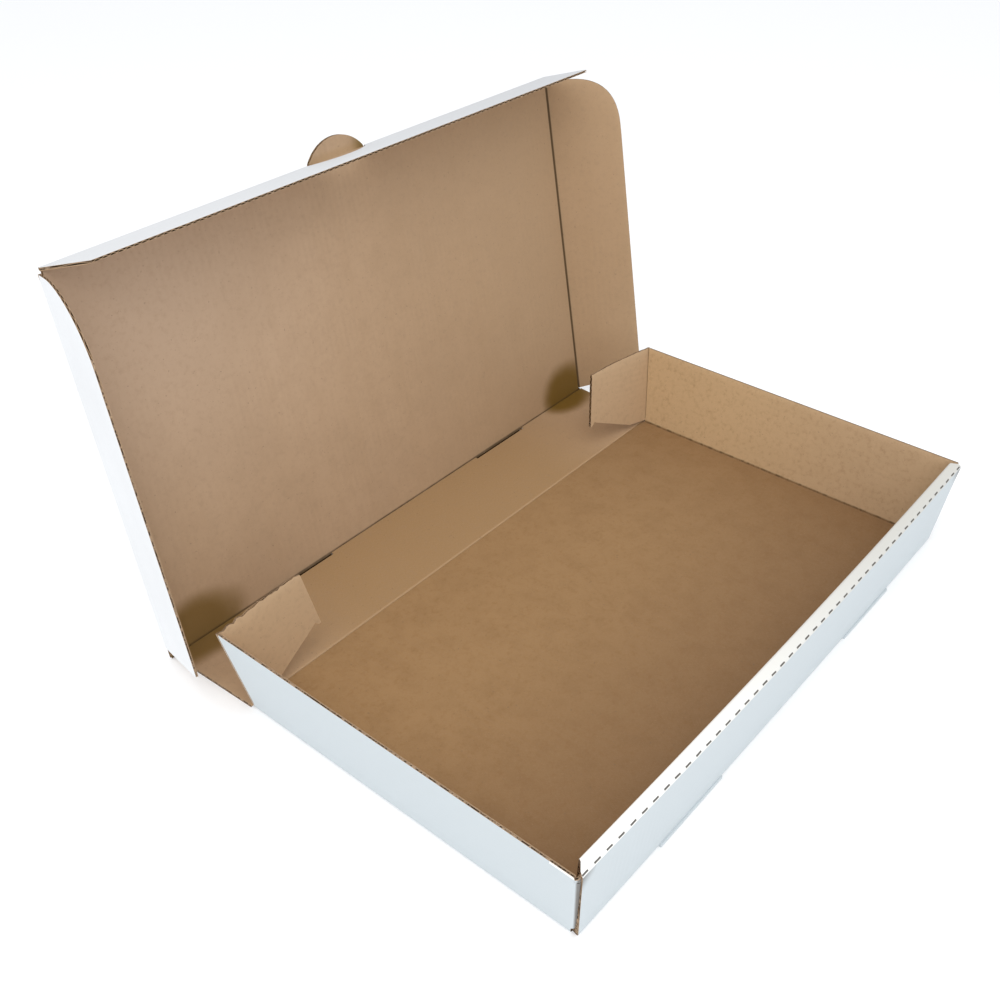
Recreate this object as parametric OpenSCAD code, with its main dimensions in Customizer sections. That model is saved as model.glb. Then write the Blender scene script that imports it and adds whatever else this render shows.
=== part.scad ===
// Full-size catering box, folded from one sheet of corrugated board, shown open.
// X runs along the box, Y from front to back, Z up. Origin: middle of the floor's underside.
// Panels meet at folds. A moving panel has a round bead on its fold line,
// and the panel that carries it stops just short of that bead.

/* [Board] */
// thickness of the corrugated board
board_t = 3; // [2:0.5:4]
// clear gap between a fold bead and the panel next to it
fold_gap = 0.4; // [0.4:0.1:0.6]

/* [Tray] */
// outer length of the floor, left to right
floor_len = 559; // [500:1:620]
// outer width of the floor, front to back
floor_wid = 332; // [300:1:380]
// height of the tray walls
wall_h = 84; // [60:1:110]
// outward lean of the two end walls
end_lean = 10; // [4:0.5:12]
// forward lean of the front wall
front_lean = 7; // [3:0.5:9]
// how far the rear edges of the end walls stop in front of the rear fold
rear_inset = 3.5; // [3.5:0.5:8]
// backward slope of the rear edges of the end walls
rear_flare = 8.3; // [2:0.1:9]

/* [Front wall] */
// thickness of the rolled-over front wall at its top
front_wall_t = 11; // [11:0.5:16]
// distance of the front wall's ends from the outside of the end walls, at the top
corner_gap = 5.3; // [4:0.1:12]
// distance of the front wall's ends from the outside of the end walls, at the floor
corner_gap_low = 1; // [0.5:0.1:3]
// how much shorter the inner panel is than the outer one, at each end
inner_inset = 9; // [7:0.5:16]
// length of the end-wall tabs caught inside the front wall
tab_len = 72; // [40:1:95]
// distance of the lock tabs from the middle of the box
lock_x = 141.5; // [110:0.5:160]
// width of each lock tab
lock_w = 77; // [40:1:80]
// play of a lock tab in its floor slot, on each side
lock_clear = 0.6; // [0.4:0.1:1]
// width of the floor ledges under the front wall
ledge_w = 83; // [50:1:90]
// how far the ledges stand out in front
ledge_out = 1; // [0.5:0.5:6]

/* [Back wall] */
// angle of the back wall from the floor when the box is closed
back_close = 79; // [76:0.5:80]
// how far the back wall is wider than the floor at its fold, at each side
back_over = 1.5; // [-2:0.5:3]
// width of the two hinge slots
hinge_slot_w = 75; // [40:1:100]
// distance of the hinge slots from the middle of the box
hinge_slot_x = 140.5; // [100:0.5:180]
// depth of the hinge slots
hinge_slot_d = 2.7; // [1:0.1:5]

/* [Lid] */
// angle between the table and the open lid
lid_open = 80.4; // [60:0.1:100]
// slope of the lid towards the front when closed
lid_slope = 1.2; // [0.6:0.1:3]
// room above the walls when the lid is closed
lid_lift = 2; // [1:0.5:5]
// room between the lid's front fold and the front wall when closed
lid_front_clear = 3.5; // [3:0.5:8]
// room between the lid's side folds and the end walls when closed
lid_side_clear = 3.2; // [2.5:0.1:8]

/* [Lid flaps] */
// depth of the lid's front flap
front_flap_d = 62; // [40:1:70]
// angle between the lid and its front flap
front_flap_fold = 80.7; // [40:0.1:90]
// how much narrower the front flap is at its free edge, at each side
front_flap_taper = 8; // [8:0.5:30]
// distance of the front flap's ends from the lid's side folds
front_flap_inset = 1; // [0.8:0.1:4]
// depth of the lid's side flaps
side_flap_d = 72; // [40:1:80]
// angle between the lid and its left side flap
left_flap_fold = 76; // [30:1:90]
// angle between the lid and its right side flap
right_flap_fold = 56; // [30:1:90]
// distance of the side flaps from the lid hinge
side_flap_start = 11.5; // [8:0.5:30]
// distance of the side flaps from the lid's front fold
side_flap_end = 3.5; // [3:0.5:12]
// how far the rear edge of a side flap slants
side_flap_slant = 9.5; // [0:0.5:30]
// radius of the side flaps' front corners
side_flap_r = 57; // [20:1:70]

/* [Thumb tab] */
// width of the thumb tab at the fold
thumb_w = 66; // [40:1:90]
// height of the thumb tab
thumb_h = 18; // [10:0.5:20]
// room around the thumb tab in the front flap
thumb_clear = 1; // [1:0.1:2]

/* [Rear corner flaps] */
// length of the rear corner flaps
corner_flap_len = 86; // [50:1:110]
// angle that the right rear corner flap is folded in by
right_corner_fold = 79; // [60:1:90]
// angle that the left rear corner flap is folded in by
left_corner_fold = 86; // [60:1:90]
// height of the flaps' lower edge above the fold's foot, at the fold
corner_flap_low = 3.5; // [3.5:0.5:20]
// how far the lower edge rises towards the free end
corner_flap_rise = 16.5; // [0:0.5:30]
// how far the upper edge drops towards the free end, measured along the board
corner_flap_drop = 11.5; // [0:0.5:20]
// size of the small barb at the free end
barb = 4.5; // [0:0.5:8]

/* [View] */
// which piece to show

/* [Hidden] */
$fn = 48;
half_t = board_t / 2;
bead_r = half_t - 0.2;
setback = half_t + fold_gap;
mid_len = floor_len / 2 - half_t;
front_y = -floor_wid / 2 + half_t;
roll_off = front_wall_t - board_t;
crease_z = wall_h - half_t;
front_top_y = front_y - (crease_z - half_t) * tan(front_lean);
end_top_x = mid_len + (wall_h - half_t) * tan(end_lean);
front_half_low = floor_len / 2 - corner_gap_low;
front_half_top = end_top_x + half_t - corner_gap;
inner_half_top = front_half_top - inner_inset;
inner_half_low = front_half_low - inner_inset + 2.5;
tab_y = front_y + roll_off / 2;
rear_y = floor_wid / 2 - rear_inset;
corner_len = (wall_h - half_t) / corner_axis(1)[2];
// the inner face of the front wall at its top, and where the lid's front fold lies when closed
front_inner_y = front_top_y + roll_off + half_t;
closed_fold_y = front_inner_y + lid_front_clear;
back_reach = floor_wid / 2 - closed_fold_y;
back_h = (wall_h + lid_lift + tan(lid_slope) * back_reach) / (sin(back_close) - cos(back_close) * tan(lid_slope));
lid_len = (back_reach + back_h * cos(back_close)) / cos(lid_slope);
lid_half = end_top_x - half_t / cos(end_lean) - lid_side_clear;
hinge_y = floor_wid / 2 + back_h;
hinge = [0, hinge_y, half_t];
lid_dir = [0, cos(lid_open), sin(lid_open)];
lid_in = [0, -sin(lid_open), cos(lid_open)];
front_fold = hinge + lid_len * lid_dir;
thumb_r = (pow(thumb_w / 2, 2) + pow(thumb_h, 2)) / (2 * thumb_h);

// direction of the slanted fold at the rear edge of an end wall
function corner_axis(s) = unit([s * tan(end_lean), tan(rear_flare), 1]);
function unit(v) = v / norm(v);

// a round bead from one point to another
module rod(p, q, r) {
    d = q - p;
    translate(p)
        rotate([0, acos(d[2] / norm(d)), atan2(d[1], d[0])])
            cylinder(h = norm(d), r = r);
}

// places children drawn in a plane, with the plane's two directions u and v
module place(o, u, v) {
    n = cross(u, v);
    multmatrix([[u[0], v[0], n[0], o[0]],
                [u[1], v[1], n[1], o[1]],
                [u[2], v[2], n[2], o[2]],
                [0, 0, 0, 1]])
        children();
}

// a flat panel of board with its middle in the plane
module panel(o, u, v, pts) {
    place(o, u, v)
        translate([0, 0, -half_t])
            linear_extrude(height = board_t)
                polygon(pts);
}

// the right-hand or the left-hand copy of a piece drawn on the right
module side(s) {
    if (s < 0) {
        mirror([1, 0, 0]) children();
    } else {
        children();
    }
}

// a profile drawn in Y and Z, run along X
module along_x(length, pts) {
    rotate([90, 0, 90])
        linear_extrude(height = length, center = true)
            polygon(pts);
}

// a profile drawn in X and Z, run along Y
module along_y(length, pts) {
    rotate([90, 0, 0])
        linear_extrude(height = length, center = true)
            polygon(pts);
}

module floor_panel() {
    difference() {
        union() {
            translate([-mid_len, front_y, 0])
                cube([2 * mid_len, floor_wid / 2 - setback - front_y, board_t]);
            for (s = [-1, 1])
                translate([s * lock_x - ledge_w / 2, -floor_wid / 2 - ledge_out, 0])
                    cube([ledge_w, ledge_out + 2 * board_t, board_t]);
        }
        for (s = [-1, 1])
            translate([s * lock_x, front_y + roll_off, half_t])
                cube([lock_w + 2 * lock_clear, board_t + 2 * lock_clear + 0.4, 3 * board_t], center = true);
    }
}

module end_wall() {
    skin = half_t / cos(end_lean);
    top_x = mid_len + (wall_h - half_t) * tan(end_lean);
    dip = half_t * sin(end_lean);
    flare = tan(rear_flare);
    lean = tan(front_lean);
    stop = setback / cos(rear_flare);
    head = wall_h + board_t;
    intersection() {
        along_y(2 * floor_wid, [
            [mid_len - board_t, 0],
            [mid_len + half_t * 0.4, 0],
            [mid_len + half_t * 0.85, half_t * 0.35],
            [mid_len + skin, half_t],
            [top_x + half_t * cos(end_lean), wall_h - dip],
            [top_x - half_t * cos(end_lean), wall_h + dip],
            [mid_len - skin + half_t * tan(end_lean), board_t],
            [mid_len - board_t, board_t]]);
        along_x(2 * floor_len, [
            [tab_y - half_t * 0.8 + half_t * lean, 0 - board_t],
            [rear_y - stop - (half_t + board_t) * flare, 0 - board_t],
            [rear_y - stop + (head - half_t) * flare, head],
            [tab_y - half_t * 0.8 - (head - half_t) * lean, head]]);
    }
    // the tab that is caught inside the front wall
    tab_rise = (crease_z - 2 * board_t) / cos(front_lean);
    slant = cos(front_lean) * tan(end_lean);
    panel([mid_len, tab_y, half_t], [-1, 0, 0], [0, -sin(front_lean), cos(front_lean)], [
        [-slant * board_t, board_t],
        [tab_len * 0.9, board_t + 4],
        [tab_len, tab_rise - 14],
        [tab_len * 0.85, tab_rise - 4],
        [corner_gap, tab_rise - 1],
        [-slant * tab_rise, tab_rise]]);
}

module front_wall() {
    skin = half_t / cos(front_lean);
    lean = tan(front_lean);
    inner_y = front_y + roll_off;
    // the outer panel, with its fold at the floor
    intersection() {
        along_x(2 * floor_len, [
            [front_y + board_t, 0],
            [front_y - half_t * 0.4, 0],
            [front_y - half_t * 0.85, half_t * 0.35],
            [front_y - skin, half_t],
            [front_top_y - skin, crease_z],
            [front_top_y - half_t * 0.7, crease_z + half_t * 0.8],
            [front_top_y - half_t * 0.2, wall_h],
            [front_top_y + half_t, wall_h],
            [front_top_y + skin, crease_z],
            [front_y + skin - half_t * lean, board_t],
            [front_y + board_t, board_t]]);
        along_y(2 * floor_wid, [
            [-front_half_low, -board_t],
            [front_half_low, -board_t],
            [front_half_low, half_t],
            [front_half_top, crease_z],
            [front_half_top, wall_h + board_t],
            [-front_half_top, wall_h + board_t],
            [-front_half_top, crease_z],
            [-front_half_low, half_t]]);
    }
    // the narrow strip along the top and the inner panel, cut back at both ends
    intersection() {
        along_x(2 * floor_len, [
            [front_top_y, wall_h],
            [front_top_y + roll_off + half_t * 0.2, wall_h],
            [front_top_y + roll_off + half_t * 0.7, crease_z + half_t * 0.8],
            [front_top_y + roll_off + skin, crease_z],
            [inner_y + skin - (half_t + 0.2) * lean, board_t + 0.2],
            [inner_y - skin - (half_t + 0.2) * lean, board_t + 0.2],
            [front_top_y + roll_off - skin + half_t * lean, crease_z - half_t],
            [front_top_y, crease_z - half_t]]);
        linear_extrude(height = 3 * wall_h, center = true)
            polygon([
                [-front_half_top, front_top_y - 1],
                [-front_half_top, front_top_y],
                [-inner_half_top, front_top_y + roll_off],
                [-inner_half_low, inner_y + half_t],
                [-inner_half_low, inner_y + 2 * board_t],
                [inner_half_low, inner_y + 2 * board_t],
                [inner_half_low, inner_y + half_t],
                [inner_half_top, front_top_y + roll_off],
                [front_half_top, front_top_y],
                [front_half_top, front_top_y - 1]]);
    }
    // the two lock tabs that go down into the floor slots
    for (s = [-1, 1])
        translate([s * lock_x - lock_w / 2, inner_y - half_t + 0.1, 0.1])
            cube([lock_w, board_t - 0.2, 2 * board_t]);
}

module tray() {
    color([0.88, 0.89, 0.91])
        union() {
            floor_panel();
            for (s = [-1, 1])
                side(s) end_wall();
            front_wall();
        }
}

module back_wall() {
    low_half = floor_len / 2 + back_over;
    top_half = lid_half - 1;
    end_y = hinge_y - setback;
    slot_y = end_y - hinge_slot_d;
    color([0.66, 0.52, 0.38]) {
        rod([-low_half, floor_wid / 2, half_t], [low_half, floor_wid / 2, half_t], bead_r);
        linear_extrude(height = board_t)
            polygon([
                [-low_half, floor_wid / 2],
                [low_half, floor_wid / 2],
                [top_half, end_y],
                [hinge_slot_x + hinge_slot_w / 2, end_y],
                [hinge_slot_x + hinge_slot_w / 2, slot_y],
                [hinge_slot_x - hinge_slot_w / 2, slot_y],
                [hinge_slot_x - hinge_slot_w / 2, end_y],
                [-hinge_slot_x + hinge_slot_w / 2, end_y],
                [-hinge_slot_x + hinge_slot_w / 2, slot_y],
                [-hinge_slot_x - hinge_slot_w / 2, slot_y],
                [-hinge_slot_x - hinge_slot_w / 2, end_y],
                [-top_half, end_y]]);
    }
}

module lid() {
    edge = lid_half - setback;
    color([0.70, 0.57, 0.44]) {
        rod(hinge - [lid_half, 0, 0], hinge + [lid_half, 0, 0], bead_r);
        panel(hinge, [1, 0, 0], lid_dir, [
            [-lid_half, 0],
            [lid_half, 0],
            [lid_half, side_flap_start - 0.5],
            [edge, side_flap_start - 0.5],
            [edge, lid_len - setback],
            [-edge, lid_len - setback],
            [-edge, side_flap_start - 0.5],
            [-lid_half, side_flap_start - 0.5]]);
        // the round thumb tab stands on past the front fold
        place(front_fold, [1, 0, 0], lid_dir)
            intersection() {
                translate([0, thumb_h - thumb_r, -half_t])
                    cylinder(h = board_t, r = thumb_r);
                translate([-thumb_w / 2, -setback - 2, -half_t])
                    cube([thumb_w, thumb_h + setback + 3, board_t]);
            }
    }
}

module lid_front_flap() {
    a = lid_open + front_flap_fold;
    down = [0, cos(a), sin(a)];
    root = lid_half - front_flap_inset;
    tip = root - front_flap_taper;
    cut = sqrt(pow(thumb_r + thumb_clear, 2) - pow(thumb_r - thumb_h, 2)) + 0.3;
    color([0.93, 0.94, 0.95]) {
        for (s = [-1, 1])
            rod(front_fold + [s * root, 0, 0], front_fold + [s * cut, 0, 0], bead_r);
        place(front_fold, [1, 0, 0], down)
            difference() {
                translate([0, 0, -half_t])
                    linear_extrude(height = board_t)
                        polygon([[-root, 0], [root, 0], [tip, front_flap_d], [-tip, front_flap_d]]);
                translate([0, thumb_h - thumb_r, -board_t])
                    cylinder(h = 2 * board_t, r = thumb_r + thumb_clear);
            }
    }
}

module side_flap(s, fold) {
    o = hinge + [s * lid_half, 0, 0];
    out = [s * cos(fold), 0, 0] + sin(fold) * lid_in;
    far = lid_len - side_flap_end;
    r = side_flap_r;
    color([0.86, 0.86, 0.85]) {
        rod(o + side_flap_start * lid_dir, o + far * lid_dir, bead_r);
        panel(o, lid_dir, out, concat(
            [[side_flap_start, 0], [side_flap_start + side_flap_slant, side_flap_d]],
            [for (i = [0:12]) [far - r + r * sin(7.5 * i), side_flap_d - r + r * cos(7.5 * i)]],
            [[far, 0]]));
    }
}

module corner_flap(s, fold) {
    o = [s * mid_len, rear_y, half_t];
    axis = corner_axis(s);
    back = unit(cross(axis, [s * cos(end_lean), 0, -sin(end_lean)]) * s);
    inward = [-s * cos(end_lean), 0, sin(end_lean)];
    out = cos(fold) * back + sin(fold) * inward;
    low = corner_flap_low;
    len = corner_flap_len;
    color([0.68, 0.54, 0.40]) {
        rod(o + low * axis, o + corner_len * axis, bead_r);
        panel(o, out, axis, [
            [0, low],
            [len * 0.3, low],
            [len - barb - 1.5, low + corner_flap_rise],
            [len - 1.5, low + corner_flap_rise - barb],
            [len, low + corner_flap_rise - barb + 0.5],
            [len, corner_len - corner_flap_drop],
            [len * 0.62, corner_len - corner_flap_drop * 0.48],
            [len * 0.23, corner_len - corner_flap_drop * 0.13],
            [0, corner_len]]);
    }
}

module lid_side_flap_left() {
    side_flap(-1, left_flap_fold);
}

module lid_side_flap_right() {
    side_flap(1, right_flap_fold);
}

module rear_corner_flap_left() {
    corner_flap(-1, left_corner_fold);
}

module rear_corner_flap_right() {
    corner_flap(1, right_corner_fold);
}

tray();
back_wall();
lid();
lid_front_flap();
lid_side_flap_left();
lid_side_flap_right();
rear_corner_flap_left();
rear_corner_flap_right();
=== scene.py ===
"""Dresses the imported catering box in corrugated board: two liners on a fluted medium, folded, creased and cut."""

from math import cos, pi, radians, sin, tan

import bpy
import numpy as np
from mathutils import Matrix, Vector


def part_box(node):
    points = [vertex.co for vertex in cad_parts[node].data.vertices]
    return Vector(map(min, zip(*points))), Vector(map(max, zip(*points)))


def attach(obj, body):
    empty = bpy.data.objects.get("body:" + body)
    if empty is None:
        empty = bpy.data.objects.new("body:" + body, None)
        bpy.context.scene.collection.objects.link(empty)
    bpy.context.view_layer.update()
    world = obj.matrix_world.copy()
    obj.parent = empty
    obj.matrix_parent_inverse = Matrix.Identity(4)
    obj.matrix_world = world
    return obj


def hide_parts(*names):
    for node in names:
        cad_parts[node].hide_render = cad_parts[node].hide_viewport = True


bl_info = {
    "name": "Catering box dressing",
    "version": (1, 0, 0),
    "blender": (4, 5, 0),
    "location": "3D View > Sidebar > Box",
    "description": "Builds a catering box of corrugated board round its packed frame",
    "category": "Object",
}

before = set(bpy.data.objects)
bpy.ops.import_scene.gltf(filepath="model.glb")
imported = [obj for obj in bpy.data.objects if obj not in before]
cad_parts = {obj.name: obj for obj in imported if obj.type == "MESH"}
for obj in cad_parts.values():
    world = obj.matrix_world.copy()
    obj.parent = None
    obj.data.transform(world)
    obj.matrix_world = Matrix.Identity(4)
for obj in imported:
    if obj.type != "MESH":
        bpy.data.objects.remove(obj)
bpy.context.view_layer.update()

MM = 0.001
T = 3.0 * MM  # board
HALF = T / 2
LINER = 0.30 * MM
MEDIUM = 0.22 * MM  # half of the fluted paper
FLUTE_STEPS = 8  # cells to a flute
WALL_Z = 84 * MM
FRONT_LEAN = radians(7.0)
END_LEAN = radians(10.0)
REAR_FLARE = radians(8.3)
MID_X = 278.0 * MM  # fold of the end walls
FLOOR_HALF = MID_X - 1.4 * MM
FRONT_Y = -164.5 * MM
ROLL = 8.0 * MM  # depth of the rolled-over front wall
CREASE_Z = WALL_Z - HALF
TOP_Y = FRONT_Y - (CREASE_Z - HALF) * tan(FRONT_LEAN)
TAB_Y = FRONT_Y + ROLL / 2
REAR_Y = 162.5 * MM
BACK_Y = 166.0 * MM
BEND = 1.55 * MM  # radius of a fold in the middle of the board
SLOT_X, SLOT_HALF = 141.5 * MM, 39.1 * MM  # floor slots of the lock tabs
HINGE_SLOT_X, HINGE_SLOT_HALF = 140.5 * MM, 37.5 * MM
HINGE_SLOT_DEEP = 2.7 * MM
CUT_PITCH = 12.7 * MM  # of the perforated fold
LID_OPEN = radians(80.4)
SETBACK = 1.9 * MM  # room left at the folds of the lid and of the back wall

CAMERA_AT = (-0.6635, -0.425, 0.700)
CAMERA_TURN = (49.73, 36.2, -0.37)  # from +Y towards +X, down, and roll, in degrees
CAMERA_FOCAL = 1178.0 / 1000.0  # focal length in widths of the picture
FLOOR_HALF_SIZE = 6.0
FLOOR_DROP = 0.4 * MM  # of the stage's floor below the box

KRAFT, WHITE, FLUTE, STREAK, CREASE, DARK = range(6)  # material indices


def node_size(name):
    """The lowest and the highest corner of a CAD node."""
    low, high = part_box(name)
    return np.array(low), np.array(high)


LID_HALF = node_size("lid")[1][0]
HINGE = np.array([0.0, node_size("back_wall")[1][1] + 1.8 * MM, HALF])
LID_DIR = np.array([0.0, cos(LID_OPEN), sin(LID_OPEN)])
LID_IN = np.array([0.0, -sin(LID_OPEN), cos(LID_OPEN)])
LID_LEN = 345.645 * MM
FRONT_FOLD = HINGE + LID_LEN * LID_DIR


# ---------------------------------------------------------------- settings

class BoxSettings(bpy.types.PropertyGroup):
    flute_pitch: bpy.props.FloatProperty(
        name="Flute pitch", description="Distance from one flute to the next", default=6.35 * MM,
        unit="LENGTH")
    bow: bpy.props.FloatProperty(
        name="Front bow", description="How far the middle of the front wall bows out", default=3.0 * MM,
        unit="LENGTH")
    kraft: bpy.props.FloatVectorProperty(
        name="Kraft", description="Colour of the brown liner", default=(0.475, 0.322, 0.200),
        subtype="COLOR", size=3)
    white: bpy.props.FloatVectorProperty(
        name="White", description="Colour of the bleached liner", default=(0.83, 0.84, 0.85),
        subtype="COLOR", size=3)
    raw: bpy.props.FloatVectorProperty(
        name="Raw edge", description="Colour of the fluted medium at a cut edge", default=(0.360, 0.240, 0.145),
        subtype="COLOR", size=3)
    key_power: bpy.props.FloatProperty(
        name="Key light", description="Power of the large soft light above", default=23.0)


# ---------------------------------------------------------------- meshes

class Mesh:
    """Collects slabs of quads, each a grid of points with a thickness, into one mesh."""

    def __init__(self):
        self.points, self.quads, self.mats, self.uvs = [], [], [], []
        self.count = 0

    def slab(self, top, bottom, uv, mats, keep=None):
        """Closes two grids of points, top and bottom, into a solid; keep says which cells are there."""
        n, m = top.shape[:2]
        if keep is None:
            keep = np.ones((n - 1, m - 1), bool)
        ds, dt = top[1:, :-1] - top[:-1, :-1], top[:-1, 1:] - top[:-1, :-1]
        up = (top - bottom)[:-1, :-1]
        sign = np.sum(np.cross(ds, dt) * up)
        ids = np.arange(n * m).reshape(n, m)
        low = ids + n * m
        quads, mats_out = [], []

        def add(corners, mat):
            q = np.stack(corners, -1).reshape(-1, 4)
            quads.append(q if sign > 0 else q[:, ::-1])
            mats_out.append(np.full(len(q), mat))

        k = keep
        add([ids[:-1, :-1][k], ids[1:, :-1][k], ids[1:, 1:][k], ids[:-1, 1:][k]], mats[0])
        add([low[:-1, :-1][k], low[:-1, 1:][k], low[1:, 1:][k], low[1:, :-1][k]], mats[1])
        pad = np.zeros((n + 1, m + 1), bool)
        pad[1:-1, 1:-1] = keep
        inner = pad[1:-1, 1:-1]
        for edge, (p, q) in (
            (inner & ~pad[:-2, 1:-1], ((0, 0), (0, 1))),
            (inner & ~pad[2:, 1:-1], ((1, 1), (1, 0))),
            (inner & ~pad[1:-1, :-2], ((1, 0), (0, 0))),
            (inner & ~pad[1:-1, 2:], ((0, 1), (1, 1))),
        ):
            i, j = np.nonzero(edge)
            one, two = (i + p[0], j + p[1]), (i + q[0], j + q[1])
            add([ids[one], ids[two], low[two], low[one]], mats[2])
        self.points += [top.reshape(-1, 3), bottom.reshape(-1, 3)]
        self.uvs += [uv.reshape(-1, 2)] * 2
        self.quads += [q + self.count for q in quads]
        self.mats += mats_out
        self.count += 2 * n * m

    def finish(self, name, materials):
        """Makes the object, placed by its points, with the board's own coordinates as its UV map."""
        points, quads = np.concatenate(self.points), np.concatenate(self.quads)
        used = np.unique(quads)
        remap = np.full(len(points), -1)
        remap[used] = np.arange(len(used))
        points, quads, uvs = points[used], remap[quads], np.concatenate(self.uvs)[used]
        me = bpy.data.meshes.new(name)
        me.vertices.add(len(points))
        me.vertices.foreach_set("co", points.ravel())
        me.loops.add(quads.size)
        me.loops.foreach_set("vertex_index", quads.ravel())
        me.polygons.add(len(quads))
        me.polygons.foreach_set("loop_start", np.arange(0, quads.size, 4))
        me.polygons.foreach_set("material_index", np.concatenate(self.mats))
        me.polygons.foreach_set("use_smooth", np.ones(len(quads), bool))
        layer = me.uv_layers.new(name="Board")
        layer.data.foreach_set("uv", uvs[quads.ravel()].ravel())
        me.update()
        me.validate()
        me.set_sharp_from_angle(angle=radians(35))
        ob = bpy.data.objects.new(name, me)
        for mat in materials:
            me.materials.append(mat)
        bpy.context.scene.collection.objects.link(ob)
        return ob


def board(mesh, grid, s, t, place, pitch, across="s", holes=(), edges=(True, True), thin=None):
    """Corrugated board over grid(s, t) -> flat coordinates (a across the flutes, b along them).

    place(a, b, h) puts a flat point at height h on the sheet, h > 0 on the kraft side. The two liners are thin
    slabs, and the medium between them is a slab whose height is a sine of a. Cells whose middle is in a hole
    (a0, b0, a1, b1) are left out. edges says which of the two ends that run along the flutes get a ragged
    filling. thin(s, t) is the share of the thickness that is left where the cutting has crushed an edge.
    """
    left = thin or (lambda x, y: np.ones(np.shape(x)))
    ss, tt = np.meshgrid(s, t, indexing="ij")
    k = left(ss, tt)
    a, b = grid(ss, tt)

    def kept(x, y):
        ca, cb = grid(*np.meshgrid((x[1:] + x[:-1]) / 2, (y[1:] + y[:-1]) / 2, indexing="ij"))
        keep = np.ones(ca.shape, bool)
        for a0, b0, a1, b1 in holes:
            keep &= ~((ca > a0) & (ca < a1) & (cb > b0) & (cb < b1))
        return keep

    uv = np.stack([a, b], -1)
    keep = kept(s, t)
    mesh.slab(place(a, b, HALF * k), place(a, b, HALF * k - LINER), uv, (KRAFT, CREASE, FLUTE), keep)
    mesh.slab(place(a, b, -HALF * k), place(a, b, LINER - HALF * k), uv, (WHITE, CREASE, FLUTE), keep)
    # the fluted medium
    along = np.ptp(a)
    fine = np.linspace(0, 1, max(int(along / pitch * FLUTE_STEPS), FLUTE_STEPS) + 1)
    if across == "s":
        fs, ft = s[0] + (s[-1] - s[0]) * fine, t
    else:
        fs, ft = s, t[0] + (t[-1] - t[0]) * fine
    xs, xt = np.meshgrid(fs, ft, indexing="ij")
    a, b = grid(xs, xt)
    wave = (HALF * left(xs, xt) - LINER - MEDIUM) * np.sin(2 * pi * a / pitch)
    mesh.slab(place(a, b, wave + MEDIUM), place(a, b, wave - MEDIUM), np.stack([a, b], -1),
              (CREASE, CREASE, FLUTE), kept(fs, ft))
    # the ragged filling, just inside the edge
    for k, wanted in zip((0, -1), edges):
        if not wanted:
            continue
        step = 0.45 * MM / max(along, 1e-6) * (1 if k == 0 else -1)
        if across == "s":
            es, et = np.array([s[k] + step, s[k] + 2.2 * step]), t
        else:
            es, et = s, np.array([t[k] + step, t[k] + 2.2 * step])
        xs, xt = np.meshgrid(es, et, indexing="ij")
        a, b = grid(xs, xt)
        full = HALF * left(xs, xt) - LINER
        mesh.slab(place(a, b, full), place(a, b, -full), np.stack([a, b], -1), (STREAK,) * 3)


def flat(o, u, v, n):
    """A place function for a flat panel: a point of the sheet is o + a u + b v + h n."""
    o, u, v, n = (np.asarray(x, float) for x in (o, u, v, n))

    def place(a, b, h):
        h = np.broadcast_to(h, np.shape(a))
        return o + a[..., None] * u + b[..., None] * v + h[..., None] * n

    return place


def bead(mesh, o, axis, back, n, start, end, flutes_along=False, inside=CREASE):
    """The rounded start of a panel at its fold: half a tube about the axis, kraft above and white below."""
    o, axis, back, n = (np.asarray(x, float) for x in (o, axis, back, n))
    s = np.linspace(start, end, max(int(abs(end - start) / (20 * MM)), 1) + 1)
    for t, mat in ((np.linspace(0, pi / 2, 7), inside), (np.linspace(pi / 2, pi, 7), WHITE)):
        ss, tt = np.meshgrid(s, t, indexing="ij")
        ring = np.cos(tt)[..., None] * n + np.sin(tt)[..., None] * back
        base = o + ss[..., None] * axis
        uv = np.stack([-HALF * tt, ss] if flutes_along else [ss, -HALF * tt], -1)
        mesh.slab(base + HALF * ring, base + (HALF - LINER) * ring, uv, (mat, FLUTE, FLUTE))


def span(*stops, step=12 * MM):
    """Values from the first stop to the last, with every stop among them."""
    out = []
    for p, q in zip(stops[:-1], stops[1:]):
        k = max(int(np.ceil(abs(q - p) / step)), 1)
        out += list(np.linspace(p, q, k + 1)[:-1])
    return np.array(out + [stops[-1]])


def noise1(x, seed, scale):
    """A smooth random function of one number, between -1 and 1."""
    rng = np.random.default_rng(seed)
    knots = rng.uniform(-1, 1, 400)
    return np.interp(np.asarray(x) / scale % 399, np.arange(400), knots)


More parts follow.
